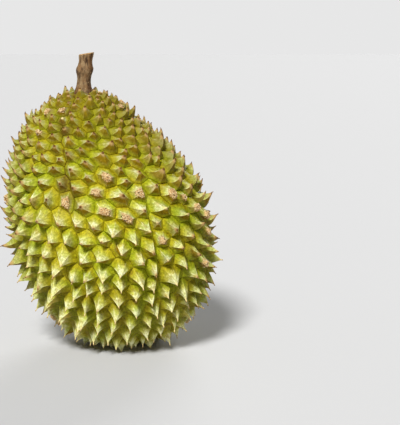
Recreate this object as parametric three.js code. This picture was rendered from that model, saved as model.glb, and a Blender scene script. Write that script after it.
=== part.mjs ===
// A durian: a lopsided, tapering fruit whose husk is covered by spines that touch at their bases,
// and the woody stalk that it hung from. Millimetres, +Z up, the fruit's broad front facing -Y.
// It stands on the worn tips of its lowest spines. The origin is on that plane, under the middle
// of the whole object's box.
//
// The fruit is worked out with its middle at (0, 0, 0), and then set down.

import * as THREE from "three";
import { ConvexHull } from "three/addons/math/ConvexHull.js";

// Body, measured at the valleys between the spines.
const halfWidth = 95.5;
const halfDepth = 87;
const halfHeight = 126;
const crownTaper = 0.28; // how much the upper half draws in towards the stalk
const basePower = 2.25; // 2 would round the lower half like an ellipsoid, and more makes it blunter
const sway = 13; // how far the crown leans over to -X, and the base to +X
const crownSway = 12; // how much further the crown is pushed to -X

// The seams between the fruit's five lobes, as angles round the fruit from its front.
const seamDegrees = [-18, 29, 98, 172, -106];
const seamDepth = 0.04; // as a share of the body's radius
const seamHalfWidthDegrees = 11;
const seamSpineLoss = 0.3; // how much lower the spines beside a seam are, in the upper half
const seamPull = 0.5; // valley corners within this share of a spine's spacing are drawn to a seam

// Spines. Spacing is from tip to tip, and height is a share of it.
const spacingAtStalk = 8.5;
const spacingAtShoulder = 12.8;
const spacingAtMiddle = 18;
const spacingAtBase = 15;
const spineSizeSpread = 0.13; // each spine's foot is wider or narrower by up to this share
const spineHeightShare = 0.71;
const spineHeightSpread = 0.18; // each spine's height differs by up to this share
const waistShare = 0.53; // how wide the spine is at its waist, against its foot
const waistRise = 0.38; // how far up the spine its waist is
const droop = 0.36; // how far the lower spines' tips lean towards the base, as a share of their height
const droopTop = 0.85; // the level above which they stand straight out
const droopFull = -0.25; // the level below which they all droop in full
const tipDrift = 0.18; // how far each tip leans some other way
const settleRounds = 18; // rounds in which neighbouring spines push each other into place
const settleStep = 0.22;
const seamClearance = 0.85; // how far spines keep off a seam, as a share of half their spacing
const startingDrift = 0.5; // how far a spine starts out of the even spiral, as a share of spacing
const randomSeed = 20731;

// The plane that the worn tips stand on, below the body's lowest point.
const standHeight = 3.6;
const wornLip = 0.5; // the least height above that plane that a spine's waist has

// The pit that holds the stalk's foot.
const pitRimRadius = 13.5;
const pitFloorRadius = 11.6;
const pitDepth = 5;
const fitGap = 0.3; // between the stalk's foot and the pit's floor

// Stalk: its outline as [height above its foot, radius], and how far it bends.
const stalkOutline = [
  [0, 9.6],
  [3.5, 9.9],
  [7, 9.1],
  [11, 7.6],
  [17, 6.7],
  [22, 7.0],
  [25.5, 8.3],
  [29, 8.5],
  [32, 7.2],
  [37, 6.6],
  [41, 7.3],
  [43.5, 7.5],
];
const stalkBend = 3.5; // sideways at its cut end
const stalkSides = 24;
const barkRibs = 7;
const barkRibDepth = 0.035; // as a share of the radius
const barkTwist = 0.8; // radians that the ribs turn from foot to end
const stalkRows = 20;
const stalkCutSlope = 0.16; // how far aslant the end is cut

const goldenAngle = Math.PI * (3 - Math.sqrt(5));
const stationCount = 720; // steps from the base to the stalk when lengths along the body are added up
const meanRadius = (halfWidth + halfDepth) / 2;
const poleLevel = 0.999; // levels past this count as a pole

const front = -Math.PI / 2; // the direction of -Y as an angle round +Z
const seams = seamDegrees.map((degrees) => front + THREE.MathUtils.degToRad(degrees));
const seamHalfWidth = THREE.MathUtils.degToRad(seamHalfWidthDegrees);

// The same random numbers in every build.
let randomState = randomSeed;
function random() {
  randomState = (randomState * 16807) % 2147483647;
  return randomState / 2147483647;
}

const between = (low, high, share) => low + (high - low) * share;

// The angle from one direction to another, from -pi to pi.
function turnBetween(from, to) {
  const turn = (to - from) % (2 * Math.PI);
  return turn > Math.PI ? turn - 2 * Math.PI : turn < -Math.PI ? turn + 2 * Math.PI : turn;
}

// How wide the body is at a level from -1, its base, to 1, its stalk end, as a share of its half width.
function girth(level) {
  if (level > 0) return Math.sqrt(1 - level * level) * (1 - crownTaper * level * level);
  return Math.pow(1 - Math.pow(-level, basePower), 1 / basePower);
}

// How far the body's middle is off its axis at a level, along X.
function middleAt(level) {
  const lean = 1.5 * level - 0.5 * level ** 3;
  return -sway * lean - crownSway * THREE.MathUtils.smoothstep(level, 0.3, 0.75);
}

// How near an angle is to a seam, from 0 to 1.
const nearSeam = (angle) =>
  seams.reduce((sum, seam) => sum + Math.exp(-((turnBetween(seam, angle) / seamHalfWidth) ** 2)), 0);

function bodyPoint(level, angle) {
  const radius = girth(level) * (1 - seamDepth * nearSeam(angle));
  return new THREE.Vector3(
    halfWidth * radius * Math.cos(angle) + middleAt(level),
    halfDepth * radius * Math.sin(angle),
    halfHeight * level,
  );
}

// The spacing of the spines at a level.
function spacingAt(level) {
  if (level < 0) return between(spacingAtMiddle, spacingAtBase, level * level);
  const shoulder = THREE.MathUtils.smoothstep(level, 0.1, 0.75);
  const crown = THREE.MathUtils.smoothstep(level, 0.8, 1);
  return between(between(spacingAtMiddle, spacingAtShoulder, shoulder), spacingAtStalk, crown);
}

// Stations from base to stalk. Each has its level, the number of spines below it, and the latitude
// that it has on a unit sphere wrapped over the body so that small shapes keep their shape.
function makeStations() {
  const stations = [];
  let spines = 0;
  let stretch = 0;
  let previous = null;
  for (let k = 0; k <= stationCount; k++) {
    const level = -Math.cos((Math.PI * k) / stationCount);
    const radius = meanRadius * girth(level);
    if (previous) {
      const length = Math.hypot(radius - previous.radius, halfHeight * (level - previous.level));
      const middleRadius = (radius + previous.radius) / 2;
      const spacing = spacingAt((level + previous.level) / 2);
      spines += (2 * Math.PI * middleRadius * length) / (spacing * spacing * (Math.sqrt(3) / 2));
      stretch += length / middleRadius;
    }
    previous = { level, radius, spines, stretch };
    stations.push(previous);
  }
  const equator = stations.find((station) => station.level >= 0).stretch;
  stations.forEach((station) => {
    station.latitude = Math.atan(Math.sinh(station.stretch - equator));
  });
  return stations;
}
const stations = makeStations();

// The value of one of a station's running totals where another has a given value.
function lookUp(known, value, wanted) {
  let low = 0;
  let high = stations.length - 1;
  while (high - low > 1) {
    const middle = (low + high) >> 1;
    if (stations[middle][known] < value) low = middle;
    else high = middle;
  }
  const a = stations[low];
  const b = stations[high];
  const share = THREE.MathUtils.clamp((value - a[known]) / (b[known] - a[known]), 0, 1);
  return between(a[wanted], b[wanted], share);
}

const onSphere = (latitude, angle) =>
  new THREE.Vector3(
    Math.cos(latitude) * Math.cos(angle),
    Math.cos(latitude) * Math.sin(angle),
    Math.sin(latitude),
  );
const levelOf = (p) => lookUp("latitude", Math.asin(THREE.MathUtils.clamp(p.z, -1, 1)), "level");
const bodyPointOf = (p) => bodyPoint(levelOf(p), Math.atan2(p.y, p.x));

// The nearest seam's direction round the fruit, and how far past it a point is, on the sphere.
function seamBeside(p) {
  const angle = Math.atan2(p.y, p.x);
  const turns = seams.map((seam) => Math.abs(turnBetween(seam, angle)));
  const seam = seams[turns.indexOf(Math.min(...turns))];
  const side = new THREE.Vector3(-Math.sin(seam), Math.cos(seam), 0);
  return { side, off: p.dot(side) };
}

// How many millimetres of body a unit of the sphere covers near a point.
function scaleOf(p) {
  const level = THREE.MathUtils.clamp(levelOf(p), -poleLevel, poleLevel);
  return (meanRadius * girth(level)) / Math.cos(lookUp("level", level, "latitude"));
}

// How far the foot of a spine, or the stalk's pit, reaches on the sphere.
const stalkPlace = new THREE.Vector3(0, 0, 1);
const footSizes = new Map(); // each spine's width as a share of the spacing at its place
const reachOf = (p) =>
  (p === stalkPlace ? pitRimRadius : (footSizes.get(p) * spacingAt(levelOf(p))) / 2) / scaleOf(p);

// Where the spines stand, as points on the sphere. The first is the stalk's place.
function placeSpines() {
  const total = stations.at(-1).spines;
  const taken = pitRimRadius / spacingAtStalk; // spines that the stalk's pit leaves no room for
  const count = Math.round(total - (Math.PI * taken * taken) / (Math.sqrt(3) / 2));
  const points = [stalkPlace];
  for (let i = 0; i < count; i++) {
    const latitude = lookUp("spines", i + 0.5, "latitude");
    const start = onSphere(latitude, i * goldenAngle);
    const drift = (startingDrift * spacingAt(levelOf(start))) / scaleOf(start);
    start.x += drift * (2 * random() - 1);
    start.y += drift * (2 * random() - 1);
    start.z += drift * (2 * random() - 1);
    points.push(start.normalize());
    footSizes.set(start, 1 + spineSizeSpread * (2 * random() - 1));
  }
  for (let round = 0; round < settleRounds; round++) settle(points);
  return points;
}

// Pushes crowded neighbours apart, and spines off the seams, all from the same starting places.
function settle(points) {
  const reach = points.map(reachOf);
  const moves = points.map(() => new THREE.Vector3());
  for (let i = 1; i < points.length; i++) {
    for (let j = 0; j < points.length; j++) {
      if (i === j) continue;
      const apart = points[i].distanceTo(points[j]);
      const wanted = 1.12 * (reach[i] + reach[j]);
      if (apart > wanted) continue;
      const push = settleStep * (wanted / Math.max(apart, 1e-6) - 1);
      moves[i].addScaledVector(points[i].clone().sub(points[j]), push);
    }
    const { side, off } = seamBeside(points[i]);
    const wanted = seamClearance * reach[i];
    if (Math.abs(off) < wanted) {
      moves[i].addScaledVector(side, settleStep * (Math.sign(off) * wanted - off));
    }
  }
  for (let i = 1; i < points.length; i++) points[i].add(moves[i]).normalize();
}

// A valley corner close to a seam, drawn towards it, so that the seam runs straight.
function drawnToSeam(corner) {
  const { side, off } = seamBeside(corner);
  const limit = (seamPull * spacingAt(levelOf(corner))) / scaleOf(corner);
  if (Math.abs(off) < limit) corner.addScaledVector(side, off * (Math.abs(off) / limit - 1));
  return corner.normalize();
}

// The spines' places joined into triangles. Each triangle's middle is a valley corner, where three
// spines meet, and the corners round a place, in turn, outline that spine's foot.
function findFeet(places) {
  const hull = new ConvexHull().setFromPoints(places);
  const cornerOf = new Map();
  const corners = hull.faces.map((face, k) => {
    cornerOf.set(face, k);
    const middle = new THREE.Vector3();
    for (let edge = face.edge, n = 0; n < 3; n++, edge = edge.next) {
      const place = edge.head().point;
      middle.addScaledVector(place, 1 / reachOf(place));
    }
    return bodyPointOf(drawnToSeam(middle.normalize()));
  });
  const outlines = new Map();
  for (const face of hull.faces) {
    for (let edge = face.edge, n = 0; n < 3; n++, edge = edge.next) {
      const place = edge.head().point;
      if (outlines.has(place)) continue;
      const outline = [];
      let around = edge;
      do {
        outline.unshift(cornerOf.get(around.face));
        around = around.next.twin;
      } while (around !== edge);
      outlines.set(place, outline);
    }
  }
  return { corners, outlines: places.map((place) => outlines.get(place)) };
}

// The middle of an outline, the way out from it, and how far its corners are from its middle.
function footOf(outline) {
  const middle = new THREE.Vector3();
  outline.forEach((p) => middle.addScaledVector(p, 1 / outline.length));
  const out = new THREE.Vector3();
  let reach = 0;
  outline.forEach((p, k) => {
    const next = outline[(k + 1) % outline.length];
    out.add(p.clone().sub(middle).cross(next.clone().sub(middle)));
    reach += p.distanceTo(middle) / outline.length;
  });
  return { middle, out: out.normalize(), reach };
}

// A spine's waist, as a ring of points, and its tip.
function growSpine(outline) {
  const { middle, out, reach } = footOf(outline);
  const spacing = Math.sqrt(3) * reach;
  const level = middle.z / halfHeight;
  const angle = Math.atan2(middle.y / halfDepth, (middle.x - middleAt(level)) / halfWidth);
  const loss = seamSpineLoss * nearSeam(angle) * THREE.MathUtils.smoothstep(level, -0.2, 0.3);
  const spread = 1 + spineHeightSpread * (2 * random() - 1);
  const height = spacing * spineHeightShare * spread * (1 - loss);
  const towardsBase = new THREE.Vector3(0, 0, -1).addScaledVector(out, out.z);
  const drift = new THREE.Vector3(random() - 0.5, random() - 0.5, random() - 0.5);
  const sideways = towardsBase
    .multiplyScalar(droop * THREE.MathUtils.smoothstep(-level, -droopTop, -droopFull))
    .addScaledVector(drift, 2 * tipDrift)
    .multiplyScalar(height);
  const tip = middle.clone().addScaledVector(out, height).add(sideways);
  const heart = middle
    .clone()
    .addScaledVector(out, height * waistRise)
    .addScaledVector(sideways, waistRise * waistRise);
  const waist = outline.map((p) => heart.clone().addScaledVector(p.clone().sub(middle), waistShare));
  return { waist, tip };
}

// The pit for the stalk: its floor's edge, as a ring of points, and the floor's middle.
function sinkPit(outline) {
  const middle = bodyPointOf(stalkPlace).setZ(footOf(outline).middle.z - pitDepth);
  const edge = outline.map((p) => {
    const away = p.clone().sub(middle).setZ(0);
    return middle.clone().add(away.setLength(pitFloorRadius));
  });
  return { edge, middle };
}

// Lists a closed surface's points and triangles.
class Surface {
  points = [];
  triangles = [];

  add(point) {
    return this.points.push(point) - 1;
  }

  band(lower, upper) {
    lower.forEach((_, k) => {
      const next = (k + 1) % lower.length;
      this.triangles.push(lower[k], lower[next], upper[next], lower[k], upper[next], upper[k]);
    });
  }

  fan(ring, point) {
    ring.forEach((_, k) => this.triangles.push(ring[k], ring[(k + 1) % ring.length], point));
  }

  geometry() {
    return new THREE.BufferGeometry().setFromPoints(this.points).setIndex(this.triangles);
  }
}

// Where the way from a down to b meets a height.
const stepDownTo = (height, a, b) => a.clone().lerp(b, (a.z - height) / (a.z - b.z));

// The husk, with the height of the plane that its worn tips lie in.
function makeHusk() {
  const places = placeSpines();
  const { corners, outlines } = findFeet(places);
  const outlinePoints = outlines.map((outline) => outline.map((k) => corners[k]));
  const pit = sinkPit(outlinePoints[0]);
  const spines = outlinePoints.slice(1).map(growSpine);
  const ground = -halfHeight - standHeight;

  const husk = new Surface();
  corners.forEach((corner) => husk.add(corner));
  const floorEdge = pit.edge.map((p) => husk.add(p));
  husk.band(outlines[0], floorEdge);
  husk.fan(floorEdge, husk.add(pit.middle));
  spines.forEach(({ waist, tip }, k) => {
    const kept = waist.map((p, i) =>
      p.z > ground + wornLip ? p : stepDownTo(ground + wornLip, outlinePoints[k + 1][i], p),
    );
    const waistRing = kept.map((p) => husk.add(p));
    husk.band(outlines[k + 1], waistRing);
    if (tip.z > ground) {
      husk.fan(waistRing, husk.add(tip));
      return;
    }
    const worn = kept.map((p) => stepDownTo(ground, p, tip));
    const wornRing = worn.map((p) => husk.add(p));
    husk.band(waistRing, wornRing);
    husk.fan(wornRing, husk.add(footOf(worn).middle));
  });
  return { geometry: husk.geometry(), ground, pitFloor: pit.middle };
}

// Turned on its long axis, then ribbed, bent and cut off a little aslant.
function makeStalk() {
  const outline = new THREE.SplineCurve(
    stalkOutline.map(([height, radius]) => new THREE.Vector2(radius, height)),
  );
  const rows = outline.getPoints(stalkRows);
  const length = stalkOutline.at(-1)[0];
  const profile = [new THREE.Vector2(0, 0), ...rows, new THREE.Vector2(0, length)];
  const geometry = new THREE.LatheGeometry(profile, stalkSides).rotateX(Math.PI / 2);
  const points = geometry.getAttribute("position");
  const p = new THREE.Vector3();
  for (let k = 0; k < points.count; k++) {
    p.fromBufferAttribute(points, k);
    const share = p.z / length;
    const rib = 1 + barkRibDepth * Math.cos(barkRibs * Math.atan2(p.y, p.x) + barkTwist * share);
    p.x = p.x * rib;
    p.y = p.y * rib;
    p.z += stalkCutSlope * p.x * share ** 6;
    p.x += stalkBend * share * share;
    points.setXYZ(k, p.x, p.y, p.z);
  }
  return geometry;
}

function makeDurian() {
  const { geometry, ground, pitFloor } = makeHusk();

  const husk = new THREE.Mesh(
    geometry,
    new THREE.MeshStandardMaterial({ color: 0xa9a23a, roughness: 0.55, metalness: 0 }),
  );
  husk.name = "husk";

  const stalk = new THREE.Mesh(
    makeStalk(),
    new THREE.MeshStandardMaterial({ color: 0x7d6239, roughness: 0.8, metalness: 0 }),
  );
  stalk.name = "stalk";
  stalk.position.copy(pitFloor);
  stalk.position.z += fitGap;

  const fruit = new THREE.Group().add(husk, stalk);
  const durian = new THREE.Group().add(fruit);
  const box = new THREE.Box3().setFromObject(durian, true);
  const middle = box.getCenter(new THREE.Vector3());
  fruit.position.set(-middle.x, -middle.y, -ground);
  return durian;
}

export default makeDurian();
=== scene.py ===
import heapq
import math
import random

import bmesh
import bpy
import numpy as np
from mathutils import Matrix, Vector, noise


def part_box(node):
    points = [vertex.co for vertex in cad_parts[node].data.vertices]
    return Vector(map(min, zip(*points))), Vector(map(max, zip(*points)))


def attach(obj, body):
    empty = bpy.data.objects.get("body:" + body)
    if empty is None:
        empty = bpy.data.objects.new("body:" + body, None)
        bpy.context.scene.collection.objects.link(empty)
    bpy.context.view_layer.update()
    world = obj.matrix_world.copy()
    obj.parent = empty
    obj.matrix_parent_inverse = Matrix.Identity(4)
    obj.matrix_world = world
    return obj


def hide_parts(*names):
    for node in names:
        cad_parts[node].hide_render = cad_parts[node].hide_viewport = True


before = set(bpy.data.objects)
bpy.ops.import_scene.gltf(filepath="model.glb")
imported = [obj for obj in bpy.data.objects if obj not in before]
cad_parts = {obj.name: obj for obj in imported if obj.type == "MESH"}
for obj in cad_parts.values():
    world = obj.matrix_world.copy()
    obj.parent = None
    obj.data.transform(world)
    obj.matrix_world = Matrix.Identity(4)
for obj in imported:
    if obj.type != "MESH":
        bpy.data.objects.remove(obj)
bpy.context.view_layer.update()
scene = bpy.context.scene
mm = 0.001


# Camera

view = {
    "distance": 1.25,
    "elevation": 10,  # degrees above level
    "shownHeight": 0.425,  # metres from the picture's lower edge to its upper edge, at the fruit
    "target": (0.088, 0, 0.134),
    "sensor": 36,
}


def addCamera():
    data = bpy.data.cameras.new("camera")
    data.sensor_width = view["sensor"]
    data.lens = view["sensor"] * view["distance"] / view["shownHeight"]
    camera = bpy.data.objects.new("camera", data)
    scene.collection.objects.link(camera)
    rise = math.radians(view["elevation"])
    back = Vector((0, -math.cos(rise), math.sin(rise)))
    camera.location = Vector(view["target"]) + back * view["distance"]
    camera.rotation_euler = back.to_track_quat("Z", "Y").to_euler()
    scene.camera = camera
    print("camera: lens", round(data.lens, 1), "mm")


addCamera()


# Helpers for node trees

def feed(tree, source, socket):
    # a socket is linked, and anything else is set as the socket's own value
    if isinstance(source, bpy.types.NodeSocket):
        tree.links.new(source, socket)
    else:
        socket.default_value = source


def addNode(tree, kind, sources, **settings):
    # sources are what goes into the node's sockets, by name or by number
    node = tree.nodes.new(kind)
    for name, setting in settings.items():
        setattr(node, name, setting)
    for name, source in sources.items():
        feed(tree, source, node.inputs[name])
    return node


def addMath(tree, operation, first, second=0.0, third=0.0, clamp=False):
    sources = {0: first, 1: second, 2: third}
    return addNode(tree, "ShaderNodeMath", sources, operation=operation, use_clamp=clamp).outputs[0]


def addProduct(tree, first, *others):
    for other in others:
        first = addMath(tree, "MULTIPLY", first, other)
    return first


def addRest(tree, share):
    return addMath(tree, "SUBTRACT", 1.0, share)


def addWander(tree, value, waves, amount):
    # moves a value up and down with a noise
    return addMath(tree, "MULTIPLY_ADD", addMath(tree, "SUBTRACT", waves, 0.5), amount, value)


def addVectorMath(tree, operation, first, second):
    return addNode(tree, "ShaderNodeVectorMath", {0: first, 1: second}, operation=operation).outputs[0]


def addScaled(tree, vector, scale):
    return addNode(tree, "ShaderNodeVectorMath", {0: vector, "Scale": scale}, operation="SCALE").outputs[0]


def addRange(tree, value, low, high, toLow=0.0, toHigh=1.0):
    sources = {"Value": value, "From Min": low, "From Max": high, "To Min": toLow, "To Max": toHigh}
    return addNode(tree, "ShaderNodeMapRange", sources, interpolation_type="SMOOTHSTEP").outputs[0]


def addMix(tree, share, first, second, blend="MIX"):
    sources = {0: share, 6: first, 7: second}
    return addNode(tree, "ShaderNodeMix", sources, data_type="RGBA", blend_type=blend).outputs[2]


def addTint(tree, share, base, tint):
    return addMix(tree, share, base, tint, "MULTIPLY")


def addNoise(tree, vector, scale, detail=2.0, roughness=0.5, distortion=0.0):
    sources = {"Vector": vector, "Scale": scale, "Detail": detail, "Roughness": roughness}
    return addNode(tree, "ShaderNodeTexNoise", sources | {"Distortion": distortion}).outputs[0]


def addSpots(tree, vector, scale):
    return addNode(tree, "ShaderNodeTexVoronoi", {"Vector": vector, "Scale": scale}).outputs["Distance"]


def addAttribute(tree, name):
    return addNode(tree, "ShaderNodeAttribute", {}, attribute_name=name).outputs["Fac"]


def addPlace(tree):
    return tree.nodes.new("ShaderNodeTexCoord").outputs["Object"]


def addBump(tree, height, distance, strength, under=None):
    sources = {"Height": height, "Distance": distance, "Strength": strength}
    if under is not None:
        sources["Normal"] = under
    return addNode(tree, "ShaderNodeBump", sources).outputs[0]


def colour(red, green, blue):
    # from the numbers of a colour picker, 0 to 255, to the shader's own
    parts = [part / 255 for part in (red, green, blue)]
    return tuple(p / 12.92 if p <= 0.04045 else ((p + 0.055) / 1.055) ** 2.4 for p in parts) + (1,)


def startMaterial(name):
    material = bpy.data.materials.new(name)
    material.use_nodes = True
    tree = material.node_tree
    return material, tree, tree.nodes["Principled BSDF"]


def finishShader(tree, shader, base, roughness, specular, normal):
    sources = {"Base Color": base, "Roughness": roughness, "Specular IOR Level": specular, "Normal": normal}
    for name, source in sources.items():
        feed(tree, source, shader.inputs[name])


# Helpers for meshes and Geometry Nodes

def addObject(name, mesh):
    piece = bpy.data.objects.new(name, mesh)
    scene.collection.objects.link(piece)
    return piece


def openTree(name, sizes):
    # a Geometry Nodes tree with a geometry input, a material input and one number for each size
    tree = bpy.data.node_groups.new(name, "GeometryNodeTree")
    tree.interface.new_socket("Geometry", in_out="INPUT", socket_type="NodeSocketGeometry")
    tree.interface.new_socket("Geometry", in_out="OUTPUT", socket_type="NodeSocketGeometry")
    for label, value in sizes.items():
        kind = "NodeSocketInt" if isinstance(value, int) else "NodeSocketFloat"
        tree.interface.new_socket(label, in_out="INPUT", socket_type=kind)
    tree.interface.new_socket("Material", in_out="INPUT", socket_type="NodeSocketMaterial")
    entry = tree.nodes.new("NodeGroupInput")
    return tree, entry


def closeTree(tree, entry, geometry):
    real = addNode(tree, "GeometryNodeRealizeInstances", {"Geometry": geometry}).outputs[0]
    sources = {"Geometry": real, "Material": entry.outputs["Material"]}
    coated = addNode(tree, "GeometryNodeSetMaterial", sources).outputs[0]
    addNode(tree, "NodeGroupOutput", {0: coated})
    return tree


def addPosition(tree):
    return tree.nodes.new("GeometryNodeInputPosition").outputs[0]


def addNamed(tree, name, kind="FLOAT"):
    named = addNode(tree, "GeometryNodeInputNamedAttribute", {"Name": name}, data_type=kind)
    return named.outputs["Attribute"]


def addVector(tree, **parts):
    return addNode(tree, "ShaderNodeCombineXYZ", parts).outputs[0]


def addChance(tree, low, high, seed):
    sources = {2: low, 3: high, "Seed": seed}
    return addNode(tree, "FunctionNodeRandomValue", sources, data_type="FLOAT").outputs[1]


def addShift(tree, geometry, offset):
    return addNode(tree, "GeometryNodeSetPosition", {"Geometry": geometry, "Offset": offset}).outputs[0]


def addRelief(tree, entry, depth):
    # moves the surface out along its normals
    normal = tree.nodes.new("GeometryNodeInputNormal").outputs[0]
    return addShift(tree, entry.outputs["Geometry"], addScaled(tree, normal, depth))


def addCrumpled(tree, instances, scale, depth):
    # makes instances real and pulls them out of shape
    real = addNode(tree, "GeometryNodeRealizeInstances", {"Geometry": instances}).outputs[0]
    rough = addNode(tree, "ShaderNodeTexNoise", {"Vector": addPosition(tree), "Scale": scale})
    shift = addVectorMath(tree, "SUBTRACT", rough.outputs["Color"], (0.5, 0.5, 0.5))
    return addShift(tree, real, addScaled(tree, shift, depth))


def addBead(tree, segments, rings):
    sources = {"Segments": segments, "Rings": rings, "Radius": 1.0}
    return addNode(tree, "GeometryNodeMeshUVSphere", sources).outputs["Mesh"]


def addScattered(tree, entry, density, bead, size):
    sources = {"Mesh": entry.outputs["Geometry"], "Density": density, "Seed": entry.outputs["Seed"]}
    spots = addNode(tree, "GeometryNodeDistributePointsOnFaces", sources)
    return addCopies(tree, spots.outputs["Points"], bead, spots.outputs["Rotation"], size)


def addCopies(tree, points, form, rotation, scale):
    sources = {"Points": points, "Instance": form, "Rotation": rotation, "Scale": scale}
    return addNode(tree, "GeometryNodeInstanceOnPoints", sources).outputs["Instances"]


def runTree(source, tree, sizes, material):
    # sets the modifier's inputs by identifier, and returns what it makes as a plain mesh
    modifier = source.modifiers.new(tree.name, "NODES")
    modifier.node_group = tree
    values = dict(sizes, Material=material)
    for item in tree.interface.items_tree:
        if item.in_out == "INPUT" and item.name in values:
            modifier[item.identifier] = values[item.name]
    depsgraph = bpy.context.evaluated_depsgraph_get()
    evaluated = source.evaluated_get(depsgraph)
    mesh = bpy.data.meshes.new_from_object(evaluated, preserve_all_data_layers=True, depsgraph=depsgraph)
    source.modifiers.remove(modifier)
    return mesh


def countTriangles(piece):
    return sum(len(face.vertices) - 2 for face in piece.data.polygons)


def mergedCopy(nodeName):
    # the frame's node as a bmesh of joined triangles, and the node itself is left alone
    form = bmesh.new()
    form.from_mesh(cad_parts[nodeName].data)
    bmesh.ops.remove_doubles(form, verts=form.verts, dist=0.01 * mm)
    form.verts.ensure_lookup_table()
    return form


def ease(value, low, high):
    share = min(1.0, max(0.0, (value - low) / (high - low)))
    return share * share * (3 - 2 * share)


def blend(low, high, share):
    return low + (high - low) * share


def addMarks(mesh, domain, marks):
    for name, values in marks.items():
        mesh.attributes.new(name, "FLOAT", domain).data.foreach_set("value", values)


# Husk: its spines are read off the frame and each is made again, finer, on the same foot

def spineOwners(form, beside, valley):
    # points that join up without crossing a valley belong to one spine, named by its first point
    owner = {}
    for start in range(len(form.verts)):
        if start in valley or start in owner:
            continue
        waiting = [start]
        owner[start] = start
        while waiting:
            for other in beside[waiting.pop()]:
                if other not in valley and other not in owner:
                    owner[other] = start
                    waiting.append(other)
    return owner


def spineRims(form, valley, owner):
    # for each spine, which valley corner follows which, and the waist point above the side between them
    following = {}
    for face in form.faces:
        corners = [v.index for v in face.verts]
        own = [k for k in corners if k not in valley]
        if len(own) != 1:
            continue
        turn = corners.index(own[0])
        first, second = corners[(turn + 1) % 3], corners[(turn + 2) % 3]
        following.setdefault(owner[own[0]], {})[first] = (second, own[0])
    return following


def readSpines():
    form = mergedCopy("husk")
    # a valley corner is shared by three spines, so nine edges meet there
    nine = {v.index for v in form.verts if len(v.link_edges) == 9}
    beside = {v.index: [e.other_vert(v).index for e in v.link_edges] for v in form.verts}
    valley = {k for k in nine if sum(n in nine for n in beside[k]) >= 3}
    place = [v.co.copy() for v in form.verts]
    owner = spineOwners(form, beside, valley)
    spines = []
    for name, steps in spineRims(form, valley, owner).items():
        rim, waist = [], []
        corner = min(steps)
        for _ in range(len(steps)):
            rim.append(corner)
            corner, above = steps[corner]
            waist.append(above)
        waist = waist[-1:] + waist[:-1]
        inner = [k for k, own in owner.items() if own == name and k not in set(waist)]
        spine = {"rim": rim, "foot": [place[k] for k in rim], "waist": [place[k] for k in waist]}
        spine.update(tip=place[inner[0]], worn=None)
        if len(inner) > 1:
            spine["worn"] = wornRing(place, spine["waist"], inner, beside)
            spine["tip"] = sum(spine["worn"], Vector()) / len(spine["worn"])
        spines.append(spine)
    stalkLow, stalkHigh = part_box("stalk")
    stalkFoot = Vector(((stalkLow.x + stalkHigh.x) / 2, (stalkLow.y + stalkHigh.y) / 2, stalkLow.z))
    pit = min(spines, key=lambda spine: (spine["tip"] - stalkFoot).length)
    spines.remove(pit)
    form.free()
    print("husk:", len(spines), "spines,", sum(s["worn"] is not None for s in spines), "worn flat")
    return spines, pit


def wornRing(place, waist, inner, beside):
    # the flat's edge, in the waist's order: for each waist point, the one that lies the same way out
    middle = next(k for k in inner if all(n in inner for n in beside[k]))
    edge = [k for k in inner if k != middle]
    axis = sum(waist, Vector()) / len(waist)
    ring = []
    for below in waist:
        way = (below - axis).normalized()
        ring.append(place[max(edge, key=lambda k: (place[k] - place[middle]).normalized().dot(way))])
    return ring


husk = {}


def measureHusk(spines):
    # where the body's middle runs, and how far the valleys reach from it
    valley = np.array([list(p) for spine in spines for p in spine["foot"]])
    middle = np.polynomial.Polynomial.fit(valley[:, 2], valley[:, 0], 5)
    husk["middle"] = middle
    husk["reach"] = np.abs(valley[:, 0] - middle(valley[:, 2])).max()
    husk["depth"] = np.abs(valley[:, 1]).max()
    husk["low"], husk["high"] = valley[:, 2].min(), valley[:, 2].max()


def flankOf(point):
    # 0 on the front and the back, and 1 out on either side
    return ease(abs(point.x - husk["middle"](point.z)) / husk["reach"], *spineShape["flankReach"])


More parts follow.
